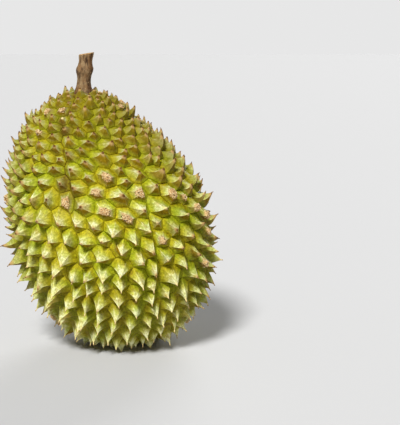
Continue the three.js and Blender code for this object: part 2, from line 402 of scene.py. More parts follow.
spineShape = {
    "rows": (0.05, 0.14, 0.28, 0.44, 0.6, 0.75, 0.88, 0.96),  # shares of the way from valley to tip
    "waistRow": 3,  # the row at the waist of a spine that is worn flat
    "samplesPerSide": 3,
    "plinths": (0.88, 0.76),  # how far out a pyramid starts, past its ledge: near the stalk, at the base
    "plinthRise": (0.25, 0.6),  # between these shares of the husk's height it goes from one to the other
    "flare": 0.1,  # how much further its very foot spreads
    "flareFall": 7,  # how fast that dies away up the spine
    "sharpRidges": (4, 5, 5),  # a spine's other corners fade above its foot
    "fading": (0.25, 0.65),
    "fadingRise": (0.03, 0.35),
    "underTurn": (-0.25, 0.75),  # a face counts as under its spine as it turns down, and gets painted shade there
    "flute": 0.03,  # how far a face sinks between its ridges
    "tapers": (1.0, 1.16),  # above 1 the sides are hollow: near the stalk, at the base
    "taperRise": (0, 0.35),
    "taperSpread": 0.08,
    "hook": (0.1, 0.42),  # how far a spine on the flanks bows, so that its tip turns up, against its height
    "curl": (0.1, 0.3),  # how far its tip then curls up, against its height
    "flankRise": (0.1, 0.6),  # it hooks and curls between these shares of the husk's height,
    "flankTurn": (-0.3, 0.8),  # and as it turns away from the front
    "flankReach": (0.6, 1.0),  # the flanks begin and end this far out from the husk's middle
    "endRadii": (1.3 * mm, 0.55 * mm),  # a tip's own roundness, near the stalk and at the base
    "roundFrom": 0.72,  # share of its height from which a tip is rounded
    "faintRidge": 0.45,  # how strongly a corner that fades is marked
    "scabbedShare": 0.075,
    "freckledShare": 0.25,
    "freckledCrust": 0.45,  # how scabbed a freckled tip is, against 1 for a scabbed one
    "woodyFlank": 0.5,  # how much woodier the tips are on the flanks
    "woodySpread": 0.25,
    "crustFrom": 0.35,  # share of its height from which it is scabbed
    "scabbedHeight": (0.6, 0.78),  # a hurt spine is cut short
    "pitRows": (0.3, 0.65, 1.0),  # shares of the way down the wall of the stalk's pit
    "pitHeight": 0.1,  # it is coloured as a ledge at this height is
    "mapSpread": 7,  # how far apart spines lie in their map
    "valleyBend": 9 * mm,  # a valley wanders by the drift over about this length
    "valleyDrift": 0.7 * mm,
    "valleySeed": 23,
    "seed": 411,
}


def sharpCorners(foot, dice):
    # the corners at which the foot turns most, in order round it
    count = len(foot)

    def turn(k):
        before, after = foot[k - 1] - foot[k], foot[(k + 1) % count] - foot[k]
        return before.angle(after)

    wanted = min(count, dice.choice(spineShape["sharpRidges"]))
    return sorted(sorted(range(count), key=turn)[:wanted])


def byHeight(name, rise):
    # a value that the spine's shape gives as one near the stalk and one at the base
    high, low = spineShape[name]
    return blend(low, high, rise)


def sampled(ring):
    # the ring's corners with points between them
    samples = spineShape["samplesPerSide"]
    after = ring[1:] + ring[:1]
    return [a.lerp(b, s / samples) for a, b in zip(ring, after) for s in range(samples)]


def wornRows(spine):
    # a spine that the fruit stands on, straight from its foot past its waist to the flat
    rows = []
    waistAt, flatAt = spineShape["rows"][spineShape["waistRow"]], spineShape["rows"][-1]
    for share in spineShape["rows"]:
        start, end, t = spine["foot"], spine["waist"], share / waistAt
        if share > waistAt:
            start, end, t = spine["waist"], spine["worn"], (share - waistAt) / (flatAt - waistAt)
        rows.append(sampled([a.lerp(b, t) for a, b in zip(start, end)]))
    return rows


def fineRows(spine, dice):
    # a spine's middle runs through its waist's middle to its tip, and its foot shrinks along it
    foot = spine["foot"]
    count = len(foot)
    samples = spineShape["samplesPerSide"]
    middle = sum(foot, Vector()) / count
    heart = sum(spine["waist"], Vector()) / count
    way = spine["tip"] - middle
    height = way.length
    waistShare = (heart - middle).dot(way) / way.length_squared
    lean = (heart - middle - way * waistShare) / (waistShare * (1 - waistShare))
    rise = ease(middle.z, husk["low"], husk["high"])
    down = Vector((0, 0, -1))
    side = down - way * (down.dot(way) / way.length_squared)
    sideways = 1 + min(0.0, way.y / height)
    top = dice.uniform(*spineShape["scabbedHeight"]) if spine["scab"] else 1.0
    flank = ease(rise, *spineShape["flankRise"]) * ease(sideways, *spineShape["flankTurn"])
    bow = side * height * dice.uniform(*spineShape["hook"]) * flank
    curl = side * height * -blend(*spineShape["curl"], spine["tone"]) * flank
    spine["tip"] = spine["tip"] + curl
    spread = spineShape["taperSpread"]
    taper = byHeight("tapers", ease(rise, *spineShape["taperRise"])) + dice.uniform(-spread, spread)
    plinth = byHeight("plinths", ease(rise, *spineShape["plinthRise"]))
    endRadius = byHeight("endRadii", rise)
    fading = dice.uniform(*spineShape["fading"])
    spine["sharp"] = sharp = sharpCorners(foot, dice)
    spine["under"] = []
    ledge = spineShape["rows"][0]
    rows = []
    for share in spineShape["rows"]:
        t = share * top
        reach = plinth * (1 - (t - ledge) / (1 - ledge)) ** taper
        reach += spineShape["flare"] * (1 - t) ** spineShape["flareFall"]
        axis = middle + way * t + lean * (t * (1 - t)) + bow * math.sin(math.pi * t) + curl * t ** 3
        swell = 4 * t * (1 - t)
        rounded = max(0.0, share - spineShape["roundFrom"]) / (1 - spineShape["roundFrom"])
        blunt = endRadius * math.sqrt(1 - rounded ** 3)
        faded = fading * ease(t, *spineShape["fadingRise"])
        spokes = [(corner - middle) * reach for corner in foot]
        row = []
        for k in range(count):
            before = max([c for c in sharp if c <= k], default=sharp[-1])
            after = min([c for c in sharp if c > k], default=sharp[0])
            span = (after - before) % count or count
            # how far this side turns down, for the painted shade under the spine
            if share == ledge:
                facing = (foot[before] + foot[after] - 2 * middle).normalized().dot(side.normalized())
                spine["under"].append(ease(facing, *spineShape["underTurn"]))
            for s in range(samples):
                along = ((k - before) % count + s / samples) / span
                away = spokes[k].lerp(spokes[(k + 1) % count], s / samples)
                away = away.lerp(spokes[before].lerp(spokes[after], along), faded)
                away = away * (1 - spineShape["flute"] * math.sin(math.pi * along) * swell)
                reached = away.length
                row.append(axis + away * ((reached ** 3 + blunt ** 3) ** (1 / 3) / reached))
        rows.append(row)
    return rows


def valleyNoise(point):
    return noise.noise_vector(point / spineShape["valleyBend"]) * spineShape["valleyDrift"]


def buildHusk(spines, pit):
    dice = random.Random(spineShape["seed"])
    noise.seed_set(spineShape["valleySeed"])  # without it the valleys would differ from run to run
    samples = spineShape["samplesPerSide"]
    points, height, ridge, scab = [], [], [], []
    faces, uvs = [], []
    faceTone, faceUnder, faceWoody = [], [], []
    cornerAt, sideAt = {}, {}

    def addPoint(point, up, onRidge, scabbed=0.0):
        points.append(point)
        height.append(up)
        ridge.append(onRidge)
        scab.append(scabbed)
        return len(points) - 1

    def rimRow(spine):
        row = []
        rim, foot = spine["rim"], spine["foot"]
        for k, corner in enumerate(rim):
            other = rim[(k + 1) % len(rim)]
            if corner not in cornerAt:
                cornerAt[corner] = addPoint(foot[k], 0.0, 0.0)
            row.append(cornerAt[corner])
            pair = (min(corner, other), max(corner, other))
            if pair not in sideAt:
                start, end = foot[k], foot[(k + 1) % len(rim)]
                if corner != pair[0]:
                    start, end = end, start
                spots = [start.lerp(end, s / samples) for s in range(1, samples)]
                sideAt[pair] = [addPoint(spot + valleyNoise(spot), 0.0, 0.0) for spot in spots]
            row += sideAt[pair] if corner == pair[0] else sideAt[pair][::-1]
        return row

    def ridgeAt(spine, k):
        if k % samples:
            return 0.0
        return 1.0 if k // samples in spine["sharp"] else spineShape["faintRidge"]

    def markFace(spine, k):
        faceTone.append(spine["tone"])
        faceUnder.append(spine["under"][k // samples])
        faceWoody.append(spine["woody"])

    def mapSides(spine, k, around):
        # where a face stands in the map round its spine, and each spine has a place of its own there
        start = spine["tone"] * spineShape["mapSpread"]
        return start + k / around, start + (k + 1) / around

    def addBand(lower, upper, low, high, spine):
        around = len(lower)
        for k in range(around):
            after = (k + 1) % around
            faces.append((lower[k], lower[after], upper[after], upper[k]))
            markFace(spine, k)
            left, right = mapSides(spine, k, around)
            uvs.extend(((left, low), (right, low), (right, high), (left, high)))

    def addFan(row, middle, low, spine):
        around = len(row)
        for k in range(around):
            faces.append((row[k], row[(k + 1) % around], middle))
            markFace(spine, k)
            left, right = mapSides(spine, k, around)
            uvs.extend(((left, low), (right, low), ((left + right) / 2, 1.0)))

    for spine in spines:
        draw = dice.random() if spine["worn"] is None else 1.0
        spine["scab"] = draw < spineShape["scabbedShare"]
        freckled = draw < spineShape["scabbedShare"] + spineShape["freckledShare"]
        crust = 1.0 if spine["scab"] else spineShape["freckledCrust"] if freckled else 0.0
        spine["tone"] = dice.random()
        rise = ease(spine["tip"].z, husk["low"], husk["high"])
        woody = rise + spineShape["woodyFlank"] * flankOf(spine["tip"])
        spine["woody"] = min(1.0, max(0.0, dice.gauss(woody, spineShape["woodySpread"])))
        spine["sharp"], spine["under"] = [], [0.0] * len(spine["foot"])
        rows = wornRows(spine) if spine["worn"] else fineRows(spine, dice)
        tip = sum(rows[-1], Vector()) / len(rows[-1]) if spine["scab"] else spine["tip"]
        spine["end"], spine["way"] = tip, (tip - sum(rows[-3], Vector()) / len(rows[-3])).normalized()
        lower, low = rimRow(spine), 0.0
        for share, row in zip(spineShape["rows"], rows):
            marked = crust * max(0.0, share - spineShape["crustFrom"]) / (1 - spineShape["crustFrom"])
            upper = [addPoint(p, share, ridgeAt(spine, k), marked) for k, p in enumerate(row)]
            addBand(lower, upper, low, share, spine)
            lower, low = upper, share
        addFan(lower, addPoint(tip, 1.0, 1.0, crust), low, spine)

    pit.update(tone=0.5, woody=0.5, under=[0.0] * len(pit["foot"]))
    lower = rimRow(pit)
    rim = [points[k] for k in lower]
    ledge = spineShape["pitHeight"]
    for share in spineShape["pitRows"]:
        upper = [addPoint(a.lerp(b, share), ledge, 0.0) for a, b in zip(rim, sampled(pit["waist"]))]
        addBand(lower, upper, 0.0, 0.0, pit)
        lower = upper
    addFan(lower, addPoint(pit["tip"], ledge, 0.0), 0.0, pit)

    mesh = bpy.data.meshes.new("husk_skin")
    mesh.from_pydata(points, [], faces)
    seam = [0.0] * len(points)
    for pair, dark in seamSides(spines).items():
        for k in [cornerAt[pair[0]], cornerAt[pair[1]]] + sideAt[pair]:
            seam[k] = max(seam[k], dark * ease(points[k].z, *stain["seamFade"]))
    addMarks(mesh, "POINT", {"height": height, "ridge": ridge, "scab": scab, "seam": seam})
    addMarks(mesh, "FACE", {"tone": faceTone, "under": faceUnder, "woody": faceWoody})
    layer = mesh.uv_layers.new(name="spineMap")
    layer.data.foreach_set("uv", [number for uv in uvs for number in uv])
    addStains(mesh)
    return mesh


stain = {
    # the seams between the lobes: degrees from the front, and how dark each is
    "seams": {-18: 1.0, 29: 0.3, 98: 0.7, 172: 0.7, -106: 0.5},
    "seamPull": 7 * mm,  # how closely a seam keeps to its own angle
    "endPull": 4,  # how strongly its ends are drawn to the stalk and the base
    "seamFade": (95 * mm, 165 * mm),  # heights between which a seam darkens
    "brownWidth": 13 * mm,
    "crownLow": 0.62,  # share of the husk's height above which it browns towards the stalk
    "shoulderShade": 0.7,  # how much more the right shoulder is darkened: painted shade
    "flankFrom": 0.5,  # share of the way out from which the flanks are darkened with painted shade
    "seamBrown": (0.5, 0.65),  # shares of the height between which the browning by the seams comes in
}
def awayFromSeam(place, degrees):
    # how far points are from a seam's own angle, along the surface
    off = (place[:, 0] - husk["middle"](place[:, 2])) / husk["reach"]
    deep = place[:, 1] / husk["depth"]
    turn = np.arctan2(off, -deep) - math.radians(degrees)
    turn = np.abs((turn + math.pi) % (2 * math.pi) - math.pi)
    return turn * np.hypot(off * husk["reach"], deep * husk["depth"])


def seamSides(spines):
    # each seam is the shortest way down the valleys, from the stalk to the base, near its own angle
    place = {}
    for spine in spines:
        place.update(zip(spine["rim"], spine["foot"]))
    names = sorted(place)
    spots = np.array([list(place[name]) for name in names])
    sides = {}
    for degrees, dark in stain["seams"].items():
        away = dict(zip(names, awayFromSeam(spots, degrees)))
        start = min(names, key=lambda name: away[name] + stain["endPull"] * (husk["high"] - place[name].z))
        finish = min(names, key=lambda name: away[name] + stain["endPull"] * (place[name].z - husk["low"]))
        links = {name: set() for name in names}
        for spine in spines:
            for k, corner in enumerate(spine["rim"]):
                links[corner].add(spine["rim"][k - 1])
                links[spine["rim"][k - 1]].add(corner)
        best, come, waiting = {start: 0.0}, {}, [(0.0, start)]
        while waiting:
            cost, corner = heapq.heappop(waiting)
            if corner == finish:
                break
            for other in links[corner]:
                step = (place[other] - place[corner]).length * (1 + (away[other] / stain["seamPull"]) ** 2)
                if cost + step < best.get(other, math.inf):
                    best[other], come[other] = cost + step, corner
                    heapq.heappush(waiting, (cost + step, other))
        while corner != start:
            sides[min(corner, come[corner]), max(corner, come[corner])] = dark
            corner = come[corner]
    return sides


def ramp(values, low, high, least=0):
    return np.clip((values - low) / (high - low), least, 1)


def addStains(mesh):
    # the browning beside the seams and round the stalk, and where shade is painted on the right shoulder and
    # the flanks
    low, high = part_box("husk")
    place = np.zeros(len(mesh.vertices) * 3)
    mesh.vertices.foreach_get("co", place)
    place = place.reshape(-1, 3)
    brown = np.zeros(len(place))
    for degrees, dark in stain["seams"].items():
        away = awayFromSeam(place, degrees)
        brown = np.maximum(brown, dark * np.exp(-((away / stain["brownWidth"]) ** 2)))
    level = (place[:, 2] - low.z) / (high.z - low.z)
    brown *= ramp(level, *stain["seamBrown"], 0.1)
    off = (place[:, 0] - husk["middle"](place[:, 2])) / husk["reach"]
    crown = ramp(level, stain["crownLow"], 1)
    # the right shoulder gets more of it: painted shade
    crown *= 1 + stain["shoulderShade"] * np.clip(off * 2, 0, 1)
    # the flanks get painted shade
    flank = ramp(np.abs(off), stain["flankFrom"], 1)
    addMarks(mesh, "POINT", {"brown": brown, "crown": crown, "flank": flank})


wrinkles = {"Wrinkle Depth": 0.6 * mm, "Wrinkle Size": 5.0 * mm, "Groove Depth": 0.4 * mm, "Seed": 12}


def wrinkleTree():
    tree, entry = openTree("spine wrinkles", wrinkles)
    height = addNamed(tree, "height")
    scaled = addVectorMath(tree, "DIVIDE", addPosition(tree), entry.outputs["Wrinkle Size"])
    shifted = addVectorMath(tree, "ADD", scaled, entry.outputs["Seed"])
    waves = addMath(tree, "SUBTRACT", addNoise(tree, shifted, 1.0, 2.0, 0.6), 0.5)
    depth = addProduct(tree, waves, addRest(tree, height), entry.outputs["Wrinkle Depth"])
    # the valleys between the spines are sharp grooves
    groove = addProduct(tree, addMath(tree, "LESS_THAN", height, 0.01), entry.outputs["Groove Depth"])
    return closeTree(tree, entry, addRelief(tree, entry, addMath(tree, "SUBTRACT", depth, groove)))


# The crust of corky grains on hurt tips

scabs = {
    "Grains Per Square Metre": 1.25e6,
    "Grain Size": 0.9 * mm,
    "Crumbling": 0.9 * mm,  # how far grains are pulled out of shape
    "Crumbs Per Metre": 750.0,
    "Clear": 4 * mm,  # no grains this near the ground
    "Seed": 19,
}
grain = {
    "sides": 6,
    "rings": 4,
    "form": (1.0, 0.8, 0.6),
    "sizes": (0.3, 1.0),
    "crust": (0.3, 0.9),  # how scabbed the skin is where grains begin, and where they are thickest
    "gather": 1.5,
    "relief": 0.3 * mm,
    "roughness": 0.85,
    "specular": 0.25,
}


def scabTree():
    tree, entry = openTree("scabs", scabs)
    up = addNode(tree, "ShaderNodeSeparateXYZ", {0: addPosition(tree)}).outputs["Z"]
    share = addMath(tree, "POWER", addRange(tree, addNamed(tree, "scab"), *grain["crust"]), grain["gather"])
    clear = addMath(tree, "GREATER_THAN", up, entry.outputs["Clear"])
    density = addProduct(tree, share, clear, entry.outputs["Grains Per Square Metre"])
    seed = entry.outputs["Seed"]
    size = addProduct(tree, addChance(tree, *grain["sizes"], seed), entry.outputs["Grain Size"])
    lump = addBead(tree, grain["sides"], grain["rings"])
    grains = addScattered(tree, entry, density, lump, addScaled(tree, grain["form"], size))
    shade = addChance(tree, 0.0, 1.0, addMath(tree, "ADD", seed, 7))
    sources = {"Geometry": grains, "Name": "grain", "Value": shade}
    shaded = addNode(tree, "GeometryNodeStoreNamedAttribute", sources, domain="INSTANCE").outputs[0]
    crumbs, crumbling = entry.outputs["Crumbs Per Metre"], entry.outputs["Crumbling"]
    return closeTree(tree, entry, addCrumpled(tree, shaded, crumbs, crumbling))


def scabMaterial():
    material, tree, shader = startMaterial("scab cork")
    shade = addAttribute(tree, "grain")
    cork = addMix(tree, addRange(tree, shade, 0.15, 0.75), rind["scabTan"], rind["scabPale"])
    cork = addMix(tree, addRange(tree, shade, 0.92, 0.95), cork, rind["scabDark"])
    fine = addNoise(tree, addPlace(tree), 1400, 2, 0.6)
    base = addMix(tree, addRange(tree, fine, 0.55, 0.75, 0, 0.4), cork, rind["tipBrown"])
    relief = addBump(tree, fine, grain["relief"], 0.5)
    finishShader(tree, shader, base, grain["roughness"], grain["specular"], relief)
    return material


def addScabs(skin):
    piece = addObject("husk_scabs", runTree(skin, scabTree(), scabs, scabMaterial()))
    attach(piece, "root")
    print("husk: scabs have", countTriangles(piece), "triangles")


# The woody nibs that the spines end in

nibs = {
    "Length": 4.2 * mm,
    "Radius": 0.44 * mm,
    "Hook": 0.6 * mm,  # how far a nib bends to one side
    "Gnarls Per Metre": 650.0,
    "Gnarl Depth": 0.8 * mm,
}
nibShape = {
    "sides": 8,
    "steps": 7,
    "bendAt": 0.6,  # the share of its length at which a nib bends
    "sunk": (0.7, 0.9),  # the share of a nib that is inside its spine: at the base, near the stalk
    "sizesHigh": (0.5, 1.1),  # near the stalk
    "sizesLow": (0.9, 1.35),  # at the base
    "missing": 0.1,
    "clear": 5 * mm,  # nibs this near the ground are worn away
    "relief": 0.3 * mm,
    "roughness": 0.75,
    "specular": 0.3,
    "seed": 77,
}


def thornForm(tree, entry):
    # a short bent thorn that thins towards its end
    length = entry.outputs["Length"]
    sources = {
        "Resolution": nibShape["steps"],
        "Start": (0, 0, 0),
        "Middle": addVector(tree, Z=addProduct(tree, length, nibShape["bendAt"])),
        "End": addVector(tree, X=entry.outputs["Hook"], Z=length),
    }
    bend = addNode(tree, "GeometryNodeCurveQuadraticBezier", sources).outputs["Curve"]
    along = tree.nodes.new("GeometryNodeSplineParameter").outputs["Factor"]
    taper = addRest(tree, addMath(tree, "POWER", along, 2.2))
    sources = {"Curve": bend, "Radius": addMath(tree, "MULTIPLY_ADD", taper, 0.9, 0.1)}
    thinned = addNode(tree, "GeometryNodeSetCurveRadius", sources).outputs["Curve"]
    sources = {"Geometry": thinned, "Name": "along", "Value": along}
    marked = addNode(tree, "GeometryNodeStoreNamedAttribute", sources).outputs["Geometry"]
    sources = {"Resolution": nibShape["sides"], "Radius": entry.outputs["Radius"]}
    ring = addNode(tree, "GeometryNodeCurvePrimitiveCircle", sources).outputs["Curve"]
    sources = {"Curve": marked, "Profile Curve": ring, "Fill Caps": True}
    return addNode(tree, "GeometryNodeCurveToMesh", sources).outputs["Mesh"]


def nibTree():
    # a thorn on each point, with its foot sunk into the spine
    tree, entry = openTree("nibs", nibs)
    sources = {"Vector": addNamed(tree, "way", "FLOAT_VECTOR")}
    aim = addNode(tree, "FunctionNodeAlignRotationToVector", sources, axis="Z").outputs["Rotation"]
    sources = {"Rotation": aim, "Rotate By": addVector(tree, Z=addNamed(tree, "spin"))}
    turned = addNode(tree, "FunctionNodeRotateRotation", sources, rotation_space="LOCAL").outputs["Rotation"]
    thorn, size = thornForm(tree, entry), addNamed(tree, "size")
    thorns = addCopies(tree, entry.outputs["Geometry"], thorn, turned, size)
    gnarls, depth = entry.outputs["Gnarls Per Metre"], entry.outputs["Gnarl Depth"]
    return closeTree(tree, entry, addCrumpled(tree, thorns, gnarls, depth))


def nibMaterial():
    # pale where it leaves the spine, and woody at its end
    material, tree, shader = startMaterial("nib wood")
    along, woody = addAttribute(tree, "along"), addAttribute(tree, "woody")
    fine = addNoise(tree, addPlace(tree), 900, 3, 0.65)
    root = addMix(tree, addRange(tree, woody, 0.2, 0.9), rind["nibPale"], rind["tan"])
    end = addMix(tree, addRange(tree, woody, 0.1, 0.8), rind["tan"], rind["tipBrown"])
    wood = addMix(tree, addRange(tree, addWander(tree, along, fine, 0.5), 0.62, 1.0), root, end)
    relief = addBump(tree, fine, nibShape["relief"], 0.5)
    finishShader(tree, shader, wood, nibShape["roughness"], nibShape["specular"], relief)
    return material


def addNibs(spines):
    dice = random.Random(nibShape["seed"])
    points, ways, values = [], [], {"size": [], "spin": [], "woody": []}
    for spine in spines:
        if spine["worn"] or spine["scab"] or spine["end"].z < nibShape["clear"]:
            continue
        if dice.random() < nibShape["missing"]:
            continue
        rise = ease(spine["end"].z, husk["low"], husk["high"])
        size = blend(dice.uniform(*nibShape["sizesLow"]), dice.uniform(*nibShape["sizesHigh"]), rise)
        points.append(spine["end"] - spine["way"] * (nibs["Length"] * blend(*nibShape["sunk"], rise) * size))
        ways.append(spine["way"])
        values["size"].append(size)
        values["spin"].append(dice.uniform(0, 2 * math.pi))
        values["woody"].append(spine["woody"])
    mesh = bpy.data.meshes.new("nib_points")
    mesh.from_pydata(points, [], [])
    aims = mesh.attributes.new("way", "FLOAT_VECTOR", "POINT")
    aims.data.foreach_set("vector", [number for way in ways for number in way])
    addMarks(mesh, "POINT", values)
    rough = addObject("nib_points", mesh)
    piece = addObject("husk_nibs", runTree(rough, nibTree(), nibs, nibMaterial()))
    bpy.data.objects.remove(rough)
    piece.data.shade_smooth()
    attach(piece, "root")
    print("husk:", len(points), "nibs,", countTriangles(piece), "triangles")


rind = {
    "ledgeGreen": colour(166, 174, 24),
    "ledgeOlive": colour(180, 169, 22),
    # the colour of the painted shade in the valley creases and in the low gaps between spines
    "valley": colour(94, 80, 2),
    # the tint of the painted shade under each spine
    "shade": colour(180, 144, 10),
    "face": colour(192, 194, 80),
    "faceYellow": colour(202, 194, 82),
    "faceGreen": colour(172, 187, 64),
    # paler rind towards the tips, also made lighter on the ridges as a painted highlight
    "pale": colour(242, 245, 206),
    "warm": colour(231, 224, 134),
    # a painted highlight along the ridges
    "ridgeHighlight": colour(250, 240, 172),
    "tan": colour(188, 154, 96),
    "nibPale": colour(238, 216, 152),
    "tipBrown": colour(104, 66, 26),
    "seam": colour(66, 42, 14),
    # browning near the stalk, also used as painted shade on the right shoulder
    "brown": colour(130, 116, 16),
    "seamBrown": colour(96, 68, 24),
    # the tint of the painted shade that darkens the flanks
    "flankShade": colour(212, 213, 172),
    "blotch": colour(206, 178, 120),
    "scabPale": colour(232, 208, 158),
    "scabTan": colour(206, 166, 112),
    "scabDark": colour(48, 28, 18),
    "fibres": ((0.8, 0.81, 0.64, 1), (1.12, 1.11, 1.2, 1)),  # what fibres darken and lighten it by
    "flecks": ((0.74, 0.74, 0.58, 1), (1.18, 1.17, 1.3, 1)),
}
rindGrain = {
    # how many marks of each kind stand in a metre
    "patches": 26,
    "ledgePatches": 48,
    "stains": 60,
    "speckPatches": 90,
    "warmPatches": 120,
    "blotches": 140,
    "mottle": 190,
    "crust": 260,
    "raggedTips": 330,
    "flecks": 420,
    "specks": 420,
    "crumbs": 480,
    "pores": 700,
    "fibres": (52, 2.6, 1),  # round a spine and up it
}
rindFinish = {
    "poreDepth": 0.3 * mm,
    "fibreDepth": 0.5 * mm,
    "crustDepth": 0.8 * mm,
    "fibreRoughness": (0.16, 0.42),  # how much of the fibres, and of an even roughness
    "tipRoughness": (0.4, 0.8),
    "specular": 0.12,
    "sharpDegrees": 28,
}


def rindNoise(tree, place, name, detail, roughness=0.5, distortion=0.0):
    return addNoise(tree, place, rindGrain[name], detail, roughness, distortion)


def rindFaces(tree, place, marks, mottle):
    # patches of greener and yellower rind, and a shade of its own for each spine
    height, ridge = marks["height"], marks["ridge"]
    patches = addRange(tree, rindNoise(tree, place, "patches", 3, 0.6), 0.36, 0.64)
    base = addMix(tree, patches, rind["faceGreen"], rind["faceYellow"])
    base = addMix(tree, addRange(tree, marks["tone"], 0, 1, 0.1, 0.7), base, rind["face"])
    # green on the ledges, paler towards the tip, and lighter still on the ridges: a painted highlight
    patches = addRange(tree, rindNoise(tree, place, "ledgePatches", 2), 0.42, 0.58)
    ledge = addMix(tree, patches, rind["ledgeGreen"], rind["ledgeOlive"])
    base = addMix(tree, addRange(tree, height, 0.08, 0.42, 0.95, 0), base, ledge)
    high = addWander(tree, height, mottle, 0.9)
    pale = addProduct(tree, addRange(tree, high, 0.25, 0.8), addRange(tree, ridge, 0.3, 1, 0.65, 1))
    base = addMix(tree, pale, base, rind["pale"])
    # a painted highlight along the ridges
    ridgeHighlight = addProduct(tree, addRange(tree, ridge, 0.62, 0.95), addRange(tree, high, 0.15, 0.6, 0, 0.6))
    base = addMix(tree, ridgeHighlight, base, rind["ridgeHighlight"])
    # warmer towards the tips, in patches
    warm = addWander(tree, height, rindNoise(tree, place, "warmPatches", 2), 1.6)
    return addMix(tree, addRange(tree, warm, 0.6, 1.1, 0, 0.8), base, rind["warm"])


def rindValleys(tree, place, marks, mottle, base):
    # painted shade: browner under each spine, a thin dark line down in the valley creases, and dark gaps
    # between the spines near the ground
    height = marks["height"]
    # painted shade under each spine
    underShade = addProduct(tree, marks["under"], addRange(tree, height, 0.08, 0.45, 0.1, 1))
    base = addTint(tree, underShade, base, rind["shade"])
    up = addNode(tree, "ShaderNodeSeparateXYZ", {0: place}).outputs["Z"]
    broken, lower = addRange(tree, mottle, 0.4, 0.6, 0.1, 1), addRange(tree, up, 0.1, 0.19, 1, 0.3)
    # painted shade down in the valley creases
    creaseShade = addProduct(tree, addRange(tree, height, 0, 0.03, 0.85, 0), broken, lower)
    # painted shade in the gaps between the spines near the ground
    lowGapShade = addProduct(tree, addRange(tree, up, 0.03, 0.13, 0.5, 0), addRange(tree, height, 0.08, 0.5, 1, 0))
    return addMix(tree, addMath(tree, "MAXIMUM", creaseShade, lowGapShade), base, rind["valley"])


def rindStains(tree, place, marks, mottle, base):
    # browner by the seams and the stalk, with painted shade on the right shoulder, and painted shade that
    # darkens the flanks
    stains = addRange(tree, rindNoise(tree, place, "stains", 3, 0.6), 0.3, 0.58)
    nearSeam = addProduct(tree, marks["brown"], stains)
    nearCrown = addProduct(tree, marks["crown"], 0.68)
    browned = addMath(tree, "MAXIMUM", addProduct(tree, nearSeam, 0.85), nearCrown, clamp=True)
    base = addMix(tree, browned, base, addMix(tree, nearSeam, rind["brown"], rind["seamBrown"]))
    # painted shade: the flanks are darker
    base = addTint(tree, marks["flank"], base, rind["flankShade"])
    deep, broken = addRange(tree, marks["height"], 0, 0.18, 1, 0), addRange(tree, mottle, 0.36, 0.56, 0.5, 1)
    base = addMix(tree, addProduct(tree, marks["seam"], deep, broken), base, rind["seam"])
    # dull blotches and small corky specks
    blotches = addRange(tree, rindNoise(tree, place, "blotches", 3, 0.7, 0.4), 0.52, 0.66, 0, 0.5)
    base = addTint(tree, blotches, base, rind["blotch"])
    specks = addRange(tree, addSpots(tree, place, rindGrain["specks"]), 0.1, 0.2, 1, 0)
    patches = addRange(tree, rindNoise(tree, place, "speckPatches", 2), 0.5, 0.62)
    return addMix(tree, addProduct(tree, specks, patches, 0.75), base, rind["tan"])


def rindTips(tree, place, woody, ragged, crust, base):
    # woody tips, and crumbs round the scabs
    tipPale = addMix(tree, addRange(tree, woody, 0.2, 0.9), rind["nibPale"], rind["tan"])
    reach = addMath(tree, "MULTIPLY_ADD", woody, 0.18, ragged)
    base = addMix(tree, addRange(tree, reach, 0.88, 1.08), base, tipPale)
    dark = addProduct(tree, addRange(tree, ragged, 0.9, 1.02), addRange(tree, woody, 0.3, 0.7))
    base = addMix(tree, dark, base, rind["tipBrown"])
    crumbs = addRange(tree, rindNoise(tree, place, "crumbs", 2), 0.36, 0.5)
    crumbs = addMix(tree, crumbs, rind["tipBrown"], rind["scabTan"])
    return addMix(tree, addProduct(tree, crust, 0.65), base, crumbs)


def rindMaterial():
    material, tree, shader = startMaterial("durian rind")
    place = addPlace(tree)
    names = ("height", "ridge", "tone", "scab", "under", "woody", "brown", "crown", "flank", "seam")
    marks = {name: addAttribute(tree, name) for name in names}
    height, scab = marks["height"], marks["scab"]
    mottle = rindNoise(tree, place, "mottle", 3, 0.65)
    base = rindFaces(tree, place, marks, mottle)
    base = rindValleys(tree, place, marks, mottle, base)

    # fine fibres that run from the valley to the tip, and flecks
    uv = addNode(tree, "ShaderNodeUVMap", {}, uv_map="spineMap").outputs[0]
    fibre = addNoise(tree, addVectorMath(tree, "MULTIPLY", uv, rindGrain["fibres"]), 1.0, 3, 0.6, 0.3)
    base = addTint(tree, 1.0, base, addMix(tree, addRange(tree, fibre, 0.34, 0.66), *rind["fibres"]))
    flecks = addRange(tree, rindNoise(tree, place, "flecks", 3, 0.7), 0.36, 0.64)
    base = addTint(tree, 1.0, base, addMix(tree, flecks, *rind["flecks"]))
    base = rindStains(tree, place, marks, mottle, base)

    ragged = addMath(tree, "MULTIPLY_ADD", rindNoise(tree, place, "raggedTips", 2), 0.12, height)
    crust = addMath(tree, "MULTIPLY_ADD", rindNoise(tree, place, "crust", 3, 0.7), 0.9, scab)
    crust = addProduct(tree, addRange(tree, crust, 0.75, 1.05), addRange(tree, scab, 0.02, 0.15))
    base = rindTips(tree, place, marks["woody"], ragged, crust, base)

    # waxy, and dull towards the tips
    rough = addMath(tree, "MULTIPLY_ADD", fibre, *rindFinish["fibreRoughness"])
    tips = addRange(tree, ragged, 0.8, 1.0, *rindFinish["tipRoughness"])
    rough = addMath(tree, "MAXIMUM", rough, tips)
    relief = addBump(tree, rindNoise(tree, place, "pores", 3, 0.6), rindFinish["poreDepth"], 0.35)
    relief = addBump(tree, fibre, rindFinish["fibreDepth"], 0.5, relief)
    relief = addBump(tree, crust, rindFinish["crustDepth"], 0.6, relief)
    finishShader(tree, shader, base, rough, rindFinish["specular"], relief)
    return material


